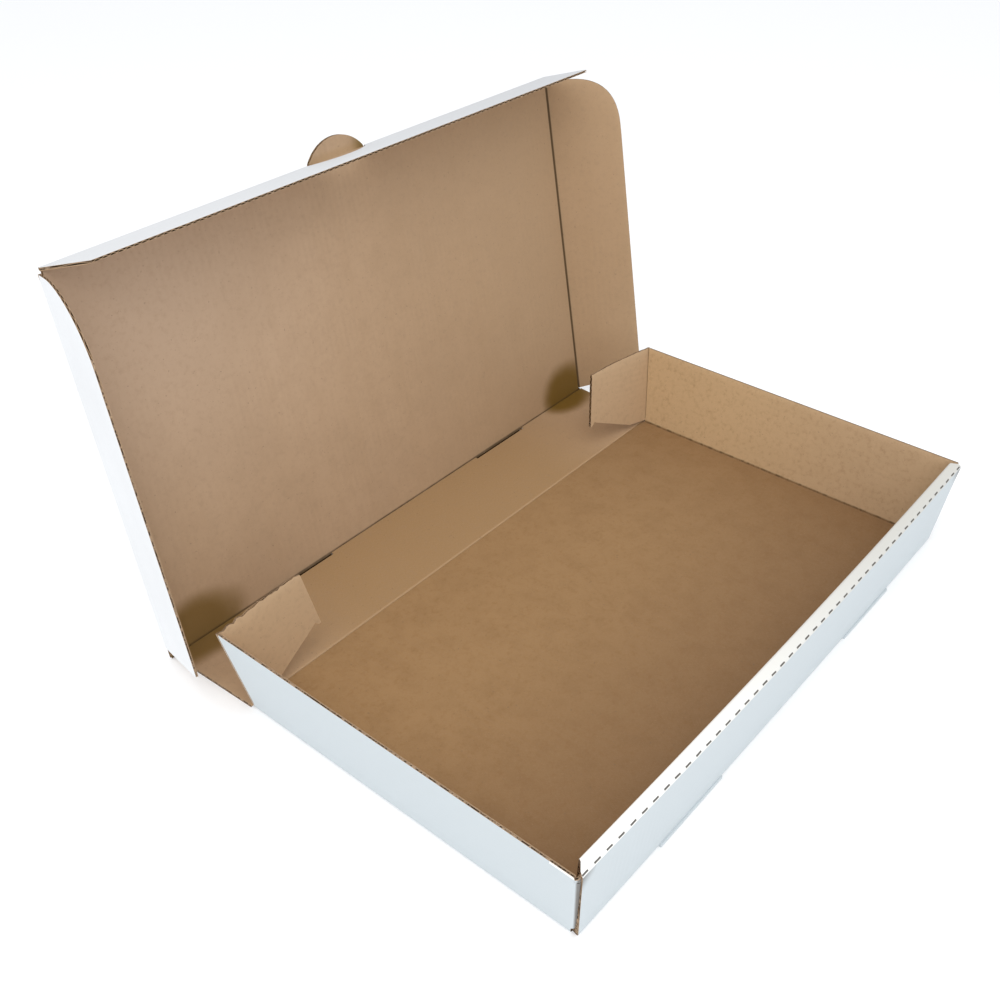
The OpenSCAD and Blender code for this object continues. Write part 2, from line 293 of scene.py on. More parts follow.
class Path:
    """A bent line through corner points with a round bend at each inner corner, measured along its length."""

    def __init__(self, corners, radius, bend_steps=6):
        pts = [np.array(c, float) for c in corners]
        self.b, self.p, self.n, self.stops = [0.0], [pts[0]], [], [0.0]
        dirs = [(q - p) / np.linalg.norm(q - p) for p, q in zip(pts[:-1], pts[1:])]
        turn = lambda d: np.array([d[1], -d[0]])
        self.n.append(turn(dirs[0]))
        at = pts[0]
        for i in range(1, len(pts) - 1):
            d0, d1 = dirs[i - 1], dirs[i]
            angle = np.arctan2(d0[0] * d1[1] - d0[1] * d1[0], d0 @ d1)
            cut = abs(radius * tan(angle / 2))
            a, sign = pts[i] - cut * d0, np.sign(angle)
            centre = a + sign * radius * np.array([-d0[1], d0[0]])
            self._add(a, turn(d0), np.linalg.norm(a - at))
            for k in range(1, bend_steps + 1):
                w = angle * k / bend_steps
                rot = np.array([[cos(w), -sin(w)], [sin(w), cos(w)]])
                self._add(centre + rot @ (a - centre), turn(rot @ d0), abs(radius * angle) / bend_steps)
            at = self.p[-1]
            self.stops.append(self.b[-1] - abs(radius * angle) / 2)
        self._add(pts[-1], turn(dirs[-1]), np.linalg.norm(pts[-1] - at))
        self.stops.append(self.b[-1])
        self.b, self.p, self.n = np.array(self.b), np.array(self.p), np.array(self.n)

    def _add(self, p, n, length):
        self.b.append(self.b[-1] + length)
        self.p.append(p)
        self.n.append(n)

    def at(self, b):
        """Position and normal at distance b."""
        p = [np.interp(b, self.b, self.p[:, k]) for k in (0, 1)]
        n = [np.interp(b, self.b, self.n[:, k]) for k in (0, 1)]
        size = np.sqrt(n[0] ** 2 + n[1] ** 2)
        return p[0], p[1], n[0] / size, n[1] / size

    def rows(self, step):
        """Distances that include every bend point."""
        return span(*self.b, step=step)


def tray_mesh(cfg):
    """Floor, front wall and top strip on one bent path, the end walls on theirs, tabs and ledges."""
    mesh = Mesh()
    pitch = cfg.flute_pitch
    inner_foot = (FRONT_Y + ROLL - 1.8 * MM * tan(FRONT_LEAN), T + 0.3 * MM)
    # corner points in (-Y, Z), so that the kraft side lies to the left of the way the path runs
    path = Path([(-(BACK_Y - SETBACK), HALF), (-FRONT_Y, HALF), (-TOP_Y, CREASE_Z),
                 (-(TOP_Y + ROLL), CREASE_Z), (-inner_foot[0], inner_foot[1])], BEND)
    b1, b2, b3, b4 = path.stops[1:5]
    widths = ((0, FLOOR_HALF), (b1 - 3 * MM, FLOOR_HALF), (b1, 278.4 * MM), (b2, 289.0 * MM),
              (b3, 280.0 * MM), (b4, 271.0 * MM))
    bows = ((0, 0), (b1 - 90 * MM, 0), (b1, 0.45), (b2, 1.0), (b3, 0.8), (b4, 0.45))
    ridge = ((0, 0), (b2, 0), (b3 - 1.2 * MM, 0.0), (b3, 0.25 * MM), (b3 + 3 * MM, 0), (1, 0))

    def half_width(b, side=0):
        wider = np.interp(b, (b2 - 20 * MM, b2, b3, b3 + 20 * MM, b4), (0, 2.4, 8.2, 5, 0))
        return np.interp(b, *zip(*widths)) + MM * (np.asarray(side) > 0) * wider

    def place(a, b, h):
        y, z, ny, nz = path.at(b)
        h = np.broadcast_to(h, np.shape(a))
        lean = cfg.bow * np.interp(b, *zip(*bows)) * ((a / half_width(b)) ** 2)
        return np.stack([a, -(y + h * -ny) + lean, z + h * -nz + np.interp(b, *zip(*ridge))], -1)

    def grid(s, t):
        return s * half_width(t, s), t

    slot = (b1 - ROLL - 2.4 * MM, b1 - ROLL + 2.2 * MM)
    slots = [(k * SLOT_X - SLOT_HALF, slot[0], k * SLOT_X + SLOT_HALF, slot[1]) for k in (-1, 1)]
    stops = sorted({-1.0, 1.0, *(x / FLOOR_HALF for q in slots for x in (q[0], q[2]))})
    s = span(*stops, step=0.035)
    t = np.unique(np.concatenate([path.rows(14 * MM), slot, [b1 - 90 * MM, b1 - 60 * MM, b1 - 30 * MM]]))
    board(mesh, grid, s, t, place, pitch, holes=slots)

    # end walls: a up the wall from the floor, b along Y, then round the front corner into the caught tab
    rise = Path([(MID_X - 1.38 * MM, HALF), (MID_X, HALF), (MID_X + (WALL_Z - HALF) * tan(END_LEAN), WALL_Z)], BEND)
    tall = rise.b[-1]
    corner = 1.6 * MM  # radius of the fold to the tab
    for side in (-1, 1):

        def wall(a, b, h):
            x, z, nx, nz = rise.at(a)
            h = np.broadcast_to(h, np.shape(a))
            lean = tan(FRONT_LEAN) * (z - HALF)
            front = TAB_Y - lean
            x0 = x - corner
            y0 = front + corner
            run = y0 - b
            angle = np.clip(run / corner, 0, pi / 2)
            past = np.maximum(run - corner * pi / 2, 0)
            back = np.maximum(b - y0, 0)
            px = x0 + corner * np.cos(angle) - past
            py = y0 - corner * np.sin(angle) + back
            n_in = np.stack([-np.cos(angle) * nx, np.sin(angle) * cos(FRONT_LEAN),
                             np.sin(angle) * sin(FRONT_LEAN) - np.cos(angle) * nz], -1)
            n_in = n_in / np.linalg.norm(n_in, axis=-1, keepdims=True)
            p = np.stack([px, py, z], -1) + h[..., None] * n_in
            p[..., 0] *= side
            return p

        def grid(s, t):
            a = s * tall * (1 - 0.043 * np.clip(-t / 0.05, 0, 1))
            z = np.interp(a, rise.b, rise.p[:, 1])
            foot = 1.5 * MM * np.clip((8 * MM - z) / (6 * MM), 0, 1)
            rear = REAR_Y - 1.7 * MM + (z - HALF) * tan(REAR_FLARE) + foot
            front = TAB_Y - (z - HALF) * tan(FRONT_LEAN) + corner
            tab = np.where(t < 0, t, 0) * (66 * MM)
            keep = np.clip((s - 0.08) / 0.05, 0, 1) * np.clip((0.965 - s) / 0.03, 0.16, 1)
            b = np.where(t >= 0, front + t * (rear - front), front + tab * keep)
            return a, b

        s = np.unique(np.concatenate([span(*(rise.b / tall), step=0.08), [0.08, 0.13, 0.935, 0.965, 0.985]]))
        t = np.concatenate([[-1, -0.5, -0.2], -np.linspace(0.055, 0, 8), span(0, 1, step=0.05)[1:]])
        board(mesh, grid, s, t, wall, pitch, thin=lambda x, y: 1 - 0.30 * np.clip((x - 0.965) / 0.035, 0, 1))

    # floor ledges under the front wall, and the lock tabs of the inner panel
    up = [0, -sin(FRONT_LEAN), cos(FRONT_LEAN)]
    for k in (-1, 1):
        ledge = flat([k * SLOT_X, -166.95 * MM, HALF], [1, 0, 0], [0, 1, 0], [0, 0, 1])
        x, y = np.meshgrid(span(-41.4 * MM, 41.4 * MM), np.linspace(0, 3.5 * MM, 3), indexing="ij")
        mesh.slab(ledge(x, y, HALF), ledge(x, y, -HALF), np.stack([x, y], -1), (WHITE, WHITE, WHITE))
        lock = flat([k * SLOT_X, FRONT_Y + ROLL, HALF], [1, 0, 0], up, [0, -cos(FRONT_LEAN), -sin(FRONT_LEAN)])
        board(mesh, lambda s, t: (s * 38.4 * MM, (-1.2 + t * 5) * MM), span(-1, 1, step=0.25),
              np.linspace(0, 1, 3), lock, pitch)
    return mesh, b2


def back_wall_mesh(cfg):
    """A flat panel with a round bead at the tray's fold and two hinge slots at the far edge."""
    mesh = Mesh()
    low, high = 281.0 * MM, LID_HALF - 3.5 * MM
    tall = HINGE[1] - BACK_Y - SETBACK
    place = flat([0, BACK_Y, HALF], [1, 0, 0], [0, 1, 0], [0, 0, 1])
    cut = tall - HINGE_SLOT_DEEP
    holes = [(k * HINGE_SLOT_X - HINGE_SLOT_HALF, cut, k * HINGE_SLOT_X + HINGE_SLOT_HALF, tall + 1)
             for k in (-1, 1)]
    stops = sorted({-1.0, 1.0, *(x / high for q in holes for x in (q[0], q[2]))})
    grid = lambda s, t: (s * (low + (high - low + 5.1 * MM * (s > 0)) * t / tall), t)
    board(mesh, grid, span(*stops, step=0.04), span(0, cut, tall), place, cfg.flute_pitch, holes=holes)
    for hole in holes:
        x, y = np.meshgrid([hole[0], hole[2]], [tall - 2.9 * MM, tall + 0.3 * MM], indexing="ij")
        mesh.slab(place(x, y, -0.5 * MM), place(x, y, -HALF), np.stack([x, y], -1), (DARK, WHITE, FLUTE))
    bead(mesh, [0, BACK_Y, HALF], [1, 0, 0], [0, -1, 0], [0, 0, 1], -low, low, inside=KRAFT)
    return mesh


def thumb_arc(x, wide, high):
    """Height of a shallow circular arc of that width and height at x."""
    r = (wide * wide / 4 + high * high) / (2 * high)
    return np.sqrt(np.maximum(r * r - x * x, 0)) - (r - high)


def lid_mesh(cfg):
    """The lid panel; its far edge carries the round thumb tab."""
    mesh = Mesh()
    place = flat(HINGE, [1, 0, 0], LID_DIR, LID_IN)
    edge = LID_HALF - SETBACK
    wide, high = 66 * MM, 18 * MM
    far = LID_LEN - SETBACK

    def grid(s, t):
        a = s
        tab = np.where(np.abs(a) < wide / 2, LID_LEN + thumb_arc(a, wide, high), far)
        return a, np.minimum(t, 1) * far + np.clip(t - 1, 0, 1) * (tab - far)

    s = np.concatenate([span(-edge, -wide / 2 - 1e-5, step=16 * MM), span(-wide / 2, wide / 2, step=2.0 * MM),
                        span(wide / 2 + 1e-5, edge, step=16 * MM)])
    board(mesh, grid, s, np.concatenate([span(0, 1, step=0.08), [1.5, 2]]), place, cfg.flute_pitch)
    # by the hinge, beyond the ends of the side flaps, the lid is wider
    start, more = edge - 0.2 * MM, LID_HALF - edge + 0.2 * MM
    for k, reach in ((-1, 10.6 * MM), (1, 2.0 * MM)):
        board(mesh, lambda s, t: (k * (start + s * more), t * reach), np.array([0, 1.0]), np.linspace(0, 1, 3),
              place, cfg.flute_pitch, edges=(False, True))
    bead(mesh, HINGE, [1, 0, 0], -LID_DIR, LID_IN, -LID_HALF + 3 * MM, LID_HALF)
    return mesh


def front_flap_mesh(cfg):
    """The front flap, with the half-moon that the thumb tab leaves in it."""
    mesh = Mesh()
    angle = LID_OPEN + radians(80.7)
    out, n = np.array([0, cos(angle), sin(angle)]), np.array([0, -sin(angle), cos(angle)])
    place = flat(FRONT_FOLD, [1, 0, 0], out, n)
    root, tip, deep = LID_HALF - 1 * MM, LID_HALF - 9 * MM, 62 * MM
    wide, high = 69.2 * MM, 19.4 * MM

    def grid(s, t):
        a = s
        low = np.where(np.abs(a) < wide / 2, np.maximum(thumb_arc(a, wide, high), 0), 0)
        top = np.where(np.abs(a) > tip, deep * (root - np.abs(a)) / (root - tip) + 0.3 * MM, deep)
        top = top - 0.35 * MM * (noise1(a, 4, 9 * MM) + 1)
        return a, low + t * (np.maximum(top, low + 0.2 * MM) - low)

    s = np.concatenate([[-root], span(-tip, -wide / 2 - 1e-5, step=6 * MM),
                        span(-wide / 2, wide / 2, step=2.0 * MM), span(wide / 2 + 1e-5, tip, step=6 * MM), [root]])
    board(mesh, grid, s, np.append(span(0, 0.94, step=0.15), [0.97, 1.0]), place, cfg.flute_pitch,
          thin=lambda x, y: 1 - 0.32 * np.clip((y - 0.94) / 0.06, 0, 1))
    for k in (-1, 1):
        bead(mesh, FRONT_FOLD, [1, 0, 0], -out, n, k * (wide / 2 + 0.5 * MM), k * root, inside=KRAFT)
    return mesh


def side_flap_mesh(cfg, side, fold):
    """A lid side flap: a across its depth, b along the lid; the front corner is a quarter of x^p + y^p = r^p."""
    mesh = Mesh()
    fold = radians(fold)
    out = np.array([side * cos(fold), 0, 0]) + sin(fold) * LID_IN
    n = np.cross(out, LID_DIR) * side
    o = HINGE + np.array([side * LID_HALF, 0, 0])
    place = flat(o, out, LID_DIR, n)
    deep, r, far = 72 * MM, 57 * MM, LID_LEN - 3.5 * MM
    start, slant = (11.5 * MM, 9.5 * MM) if side < 0 else (2.8 * MM, 13.2 * MM)
    power = 2.0 if side < 0 else 2.7

    def grid(s, t):
        a = s * deep
        low = start + slant * s
        x = np.clip(a - (deep - r), 0, r)
        high = far - r + r * np.maximum(1 - (x / r) ** power, 0) ** (1 / power)
        return a, low + t * (high - low)

    turn = 1 - r / deep
    s = np.concatenate([span(0, turn, step=0.1), turn + r / deep * np.sin(np.linspace(0, pi / 2, 16))[1:]])
    rim = lambda x, y: 1 - 0.32 * np.clip(np.maximum((x - 0.955) / 0.045, (y - 0.985) / 0.015), 0, 1)
    board(mesh, grid, s, np.append(span(0, 0.985, step=0.05), 1.0), place, cfg.flute_pitch,
          edges=(False, True), thin=rim)
    bead(mesh, o, LID_DIR, -out, n, start, far, flutes_along=True, inside=CREASE if side > 0 else KRAFT)
    return mesh


def corner_flap_mesh(cfg, side, fold, ragged, extra=0.0):
    """A rear corner flap: a up the fold, b out along the flutes, between a rising lower edge and a falling top.

    ragged is the depth of the tears in its top edge, and extra the share by which it is longer.
    """
    mesh = Mesh()
    fold = radians(fold)
    axis = np.array([side * tan(END_LEAN), tan(REAR_FLARE), 1.0])
    axis /= np.linalg.norm(axis)
    wall_n = np.array([side * cos(END_LEAN), 0, -sin(END_LEAN)])
    back = np.cross(axis, wall_n) * side
    back /= np.linalg.norm(back)
    out = cos(fold) * back - sin(fold) * wall_n
    n = -np.cross(out, axis) * side
    o = np.array([side * MID_X, REAR_Y, HALF])
    place0 = flat(o, out, axis, n)
    place = lambda a, b, h: place0(b, a, h)
    long_, tall = 86 * MM, (WALL_Z - HALF) / axis[2]

    def grid(s, t):
        b = s * long_ * (1 + extra)
        low = np.interp(s, [0, 0.3, 0.93, 1], np.array([3.5, 3.5, 20, 20.5]) * MM)
        high = tall - np.interp(s, [0, 0.23, 0.62, 1], np.array([0, 1.5, 5.5, 11.5]) * MM)
        high = high - ragged * (noise1(b, 11, 3.1 * MM) + 1) / 2 * np.clip(s / 0.05, 0, 1)
        return low + t * (high - low), b

    board(mesh, grid, span(0, 1, step=0.02), np.append(span(0, 0.95, step=0.1), 1.0), place, cfg.flute_pitch,
          across="t", thin=lambda x, y: 1 - 0.30 * np.clip((y - 0.95) / 0.05, 0, 1))
    # the small torn point at the foot of the free edge
    barb = lambda s, t: ((16.0 + 4.4 * t) * MM, (84.2 - 4 * t * (1 - s) + 1.8 * s) * (1 + extra) * MM)
    board(mesh, barb, np.linspace(0, 1, 4), np.linspace(0, 1, 4), place, cfg.flute_pitch, across="t")
    bead(mesh, o, axis, -out, n, 0.6 * MM, tall, inside=KRAFT)
    return mesh


# ---------------------------------------------------------------- materials

class S:
    """A shader socket with arithmetic: S + S, S * 2, 1 - S and so on make Math nodes."""

    def __init__(self, mat, socket):
        self.mat, self.socket = mat, socket

    def _op(self, op, *others):
        return self.mat.node("ShaderNodeMath", 0, [self, *others], operation=op)

    def __add__(self, o): return self._op("ADD", o)
    def __radd__(self, o): return self._op("ADD", o)
    def __sub__(self, o): return self._op("SUBTRACT", o)
    def __rsub__(self, o): return self.mat.node("ShaderNodeMath", 0, [o, self], operation="SUBTRACT")
    def __mul__(self, o): return self._op("MULTIPLY", o)
    def __rmul__(self, o): return self._op("MULTIPLY", o)
    def __truediv__(self, o): return self._op("DIVIDE", o)
    def power(self, o): return self._op("POWER", o)
    def sin(self): return self._op("SINE")
    def abs(self): return self._op("ABSOLUTE")
    def frac(self): return self._op("FRACT")
    def below(self, o): return self._op("LESS_THAN", o)
    def above(self, o): return self._op("GREATER_THAN", o)

    def ramp(self, low, high):
        """0 at low and 1 at high, smooth between; low may be the greater."""
        return self.mat.node("ShaderNodeMapRange", 0, {"Value": self, "From Min": low, "From Max": high},
                             interpolation_type="SMOOTHSTEP")


class Material:
    """A material whose nodes are made by one method."""

    def __init__(self, name):
        self.data = bpy.data.materials.new(name)
        self.data.use_nodes = True
        self.nodes, self.links = self.data.node_tree.nodes, self.data.node_tree.links
        self.bsdf = self.nodes["Principled BSDF"]
        uv = self.node("ShaderNodeUVMap", 0, {}, uv_map="Board")
        split = self.nodes.new("ShaderNodeSeparateXYZ")
        self.links.new(uv.socket, split.inputs[0])
        self.a, self.b = S(self, split.outputs[0]), S(self, split.outputs[1])
        self.object = S(self, self.nodes.new("ShaderNodeTexCoord").outputs["Object"])
        split = self.nodes.new("ShaderNodeSeparateXYZ")
        self.links.new(self.object.socket, split.inputs[0])
        self.x, self.y, self.z = (S(self, k) for k in split.outputs)

    def node(self, kind, out, inputs, **settings):
        """Makes a node, sets or links its inputs and returns one output."""
        n = self.nodes.new(kind)
        for k, v in settings.items():
            setattr(n, k, v)
        for k, v in (inputs.items() if isinstance(inputs, dict) else enumerate(inputs)):
            if isinstance(v, S):
                self.links.new(v.socket, n.inputs[k])
            else:
                n.inputs[k].default_value = v
        return S(self, n.outputs[out])

    def noise(self, scale, detail=3.0, rough=0.55, stretch=None):
        """Noise on the object's coordinates, or on the board's own with stretch = (across, along)."""
        at = self.object
        if stretch:
            at = self.node("ShaderNodeCombineXYZ", 0, [self.a * stretch[0], self.b * stretch[1], 0.0])
        return self.node("ShaderNodeTexNoise", 0, {
            "Vector": at, "Scale": scale, "Detail": detail, "Roughness": rough})

    def mix(self, factor, one, two):
        """A colour between two colours or colour sockets."""
        n = self.nodes.new("ShaderNodeMix")
        n.data_type = "RGBA"
        for k, v in ((0, factor), (6, one), (7, two)):
            if isinstance(v, S):
                self.links.new(v.socket, n.inputs[k])
            elif k:
                n.inputs[k].default_value = (*v, 1.0)
            else:
                n.inputs[k].default_value = v
        return S(self, n.outputs[2])

    def use(self, colour, rough, height=None, distance=0.1 * MM, strength=1.0):
        """Feeds the shader: colour, roughness and a bump from a height in the same units as distance."""
        self.links.new(colour.socket, self.bsdf.inputs["Base Color"])
        if isinstance(rough, S):
            self.links.new(rough.socket, self.bsdf.inputs["Roughness"])
        else:
            self.bsdf.inputs["Roughness"].default_value = rough
        self.bsdf.inputs["Specular IOR Level"].default_value = 0.28
        if height is not None:
            bump = self.node("ShaderNodeBump", 0, {"Height": height, "Distance": distance, "Strength": strength})
            self.links.new(bump.socket, self.bsdf.inputs["Normal"])
        return self.data


def shade(colour, factor):
    """A colour made lighter or darker."""
    return tuple(min(c * factor, 1.0) for c in colour)


def tint(colour, *factors):
    """A colour with a factor of its own for red, green and blue."""
    return tuple(c * f for c, f in zip(colour, factors))


def kraft_material(cfg, name="kraft_liner"):
    """Brown liner: long fibres, flecks, soft blotches and a faint washboard of the flutes under it.

    The tray's liner has painted shade on the floor, deeper towards the front wall and towards the right, and a
    painted lighter tone on the end walls, more so towards the rear; painted shade lies in the creases at the foot
    of the end walls, broken into dashes. The lid's and back wall's liners have painted shadows, mustard-dark, by
    the two ends of their hinge.
    """
    m = Material(name)
    base = tuple(cfg.kraft)
    deep = tint(base, 0.36, 0.255, 0.12)
    wave = (m.a * (2 * pi / cfg.flute_pitch)).sin()
    wave_here = wave * m.noise(14.0, 2.0).ramp(0.35, 0.75)
    blotch = m.noise(5.5, 4.0, 0.6)
    cloud = m.noise(48.0, 5.0, 0.66)
    fibre = m.noise(1.0, 3.0, 0.6, stretch=(2600.0, 420.0))
    grain = m.noise(1700.0, 2.0, 0.6)
    dark = m.noise(1.0, 2.0, 0.5, stretch=(1300.0, 520.0)).ramp(0.70, 0.78)
    light = m.noise(1.0, 1.0, 0.5, stretch=(2100.0, 520.0)).ramp(0.72, 0.82)
    streak = m.noise(1.0, 2.0, 0.5, stretch=(60.0, 1.6))
    mottle = m.noise(210.0, 4.0, 0.66)
    fleck = m.noise(520.0, 1.0, 0.4).ramp(0.735, 0.78)
    colour = m.mix(blotch.ramp(0.30, 0.72), shade(base, 0.93), shade(base, 1.05))
    colour = m.mix(cloud.ramp(0.35, 0.72) * 0.42, colour, tint(base, 0.86, 0.85, 0.82))
    colour = m.mix(streak.ramp(0.42, 0.8) * 0.22, colour, tint(base, 0.86, 0.83, 0.76))
    if name == "kraft_liner_tray":
        # painted light on the tray's kraft: the floor gets painted shade, deeper towards the front wall and towards
        # the right, and the end walls get a painted lighter copy, more so towards the rear
        floor = m.z.ramp(5.5 * MM, 3.4 * MM)
        front = m.y.ramp(85 * MM, -175 * MM)
        right = m.x.ramp(40 * MM, 270 * MM)
        tone = m.mix(front, tint(base, 0.66, 0.55, 0.33), deep)
        tone = m.mix(right * 0.36, tone, deep)
        shaded_floor = m.mix(0.86, colour, tone)
        mottled_shaded_floor = m.mix(cloud.ramp(0.38, 0.70) * 0.16, shaded_floor, shade(deep, 0.9))
        wall = m.mix(m.y.ramp(-120 * MM, 100 * MM) * 0.45 + 0.30, colour, tint(base, 1.42, 1.46, 1.26))
        colour = m.mix(floor, wall, mottled_shaded_floor)
        # painted shade in the creases at the foot of the end walls, broken into dashes by noise
        foot = (m.x.abs() - (MID_X - 0.9 * MM)).abs().ramp(1.5 * MM, 0.5 * MM)
        foot = foot * m.z.ramp(5.5 * MM, 4.2 * MM)
        patchy = m.noise(1.0, 3.0, 0.6, stretch=(4.0, 120.0)).ramp(0.42, 0.62)
        colour = m.mix(foot * (patchy * 0.55 + 0.15), colour, (0.070, 0.040, 0.014))
    if name == "kraft_liner_lid":
        east = (m.x + blotch * 0.1).ramp(-60 * MM, 300 * MM)
        west = (m.x * -1 + blotch * 0.1).ramp(10 * MM, 320 * MM) * m.z.ramp(60 * MM, 300 * MM)
        colour = m.mix(east * 0.55, colour, tint(base, 0.82, 0.78, 0.66))
        colour = m.mix(west * 0.60, colour, tint(base, 1.12, 1.24, 1.50))
    if name == "kraft_liner_back":
        middle = m.x.abs().ramp(275 * MM, 120 * MM)
        colour = m.mix(middle * 0.75 + 0.12, colour, tint(base, 0.70, 0.62, 0.42))
    if name in ("kraft_liner", "kraft_liner_side"):
        colour = m.mix(0.35, colour, tint(base, 0.98, 0.95, 0.78))
    if name == "kraft_liner_corner_lit":
        # painted light: the corner flaps get a lighter copy of the kraft
        colour = m.mix(0.7, colour, tint(base, 1.30, 1.34, 1.28))
    colour = m.mix(wave_here.ramp(-1.1, 1.1) * 0.07, colour, shade(base, 0.62))
    fibres = 0.80 if name == "kraft_liner_tray" else 1.16
    colour = m.mix(fibre.ramp(0.35, 0.75) * 0.20, colour, shade(base, fibres))
    colour = m.mix(dark * 0.42, colour, shade(base, 0.42))
    colour = m.mix(light * 0.26, colour, shade(tint(base, 1, 1.05, 1.15), 1.4))
    if name == "kraft_liner_back":
        # painted highlight along the rounded fold at the foot of the back wall
        fold_highlight = (m.y - BACK_Y + 0.4 * MM).abs().ramp(1.5 * MM, 0.6 * MM)
        colour = m.mix(fold_highlight * 0.55, colour, tint(base, 1.0, 0.96, 0.86))
    soft = shade(deep, 1.25) if name == "kraft_liner_tray" else shade(base, 0.70)
    colour = m.mix(mottle.ramp(0.45, 0.80) * 0.30, colour, soft)
    colour = m.mix(fleck * 0.38, colour, shade(base, 0.32))
    if name in ("kraft_liner_lid", "kraft_liner_back"):
        # painted shadows, mustard-dark, by the two ends of the hinge on the lid and on the back wall
        for side, reach, shadow_depth in ((-1, 62 * MM, 0.82), (1, 42 * MM, 0.94)):
            u = (m.x - side * (LID_HALF - 26 * MM)) / reach
            if name == "kraft_liner_lid":
                v = (m.z - 12 * MM) / (34 * MM)
            else:
                v = (m.y - HINGE[1] + 2 * MM) / (26 * MM)
            radius = u * u + v * v + (m.noise(26.0, 2.0) - 0.5) * 0.5
            colour = m.mix(radius.ramp(1.25, 0.25) * shadow_depth, colour, (0.150, 0.078, 0.002))
    # painted shade: this very dark brown is laid along folds, on the lid by its hinge fold and its side folds, and
    # on the side flap by its fold
    fold_shade = (0.060, 0.034, 0.010)
    if name == "kraft_liner_lid":
        colour = m.mix(m.z.ramp(5.0 * MM, 3.3 * MM) * (cloud * 0.7 + 0.3), colour, fold_shade)
        side_fold_shade = m.x.ramp(LID_HALF - 3.6 * MM, LID_HALF - 2.5 * MM) * m.z.below(344 * MM)
        colour = m.mix(side_fold_shade * 0.85, colour, fold_shade)
        # painted shade on the thumb tab: darker at its foot by the fold, and mustard-dark at its right end
        tab = m.z.above(343.5 * MM)
        colour = m.mix(tab * m.z.ramp(352 * MM, 346 * MM) * 0.35, colour, tint(base, 0.75, 0.66, 0.42))
        colour = m.mix(tab * m.x.ramp(14 * MM, 31 * MM) * 0.8, colour, (0.165, 0.100, 0.015))
    if name == "kraft_liner_side":
        # painted shade along the fold of the side flap
        colour = m.mix(m.a.ramp(2.1 * MM, 1.1 * MM) * 0.85, colour, fold_shade)
    if name == "kraft_liner_corner_lit":
        # painted shade along the fold of the corner flap, where it leaves the end wall
        colour = m.mix(m.b.ramp(3.2 * MM, 0.6 * MM) * 0.55, colour, tint(base, 0.42, 0.36, 0.20))
    height = wave_here * 0.30 + fibre * 0.24 + grain * 0.14 + cloud * 0.35 + mottle * 0.3
    rough = 0.66 + grain * 0.16
    return m.use(colour, rough, height, 0.10 * MM, 0.5)


def crease_shade_material(cfg):
    """The kraft side of a sharp fold and the inner faces of the board, very dark brown: painted shade along the
    folds and in the hollows between the flutes, patchy.
    """
    m = Material("crease")
    base = tuple(cfg.kraft)
    patchy = m.noise(1.0, 3.0, 0.6, stretch=(70.0, 70.0)).ramp(0.3, 0.7)
    colour = m.mix(patchy, tint(base, 0.20, 0.15, 0.07), tint(base, 0.36, 0.30, 0.16))
    return m.use(colour, 0.85, patchy, 0.1 * MM, 0.5)


def dark_material():
    """The shadow inside a cut."""
    m = Material("cut_shadow")
    m.bsdf.inputs["Base Color"].default_value = (0.018, 0.009, 0.004, 1)
    m.bsdf.inputs["Roughness"].default_value = 0.95
    m.bsdf.inputs["Specular IOR Level"].default_value = 0.0
    return m.data


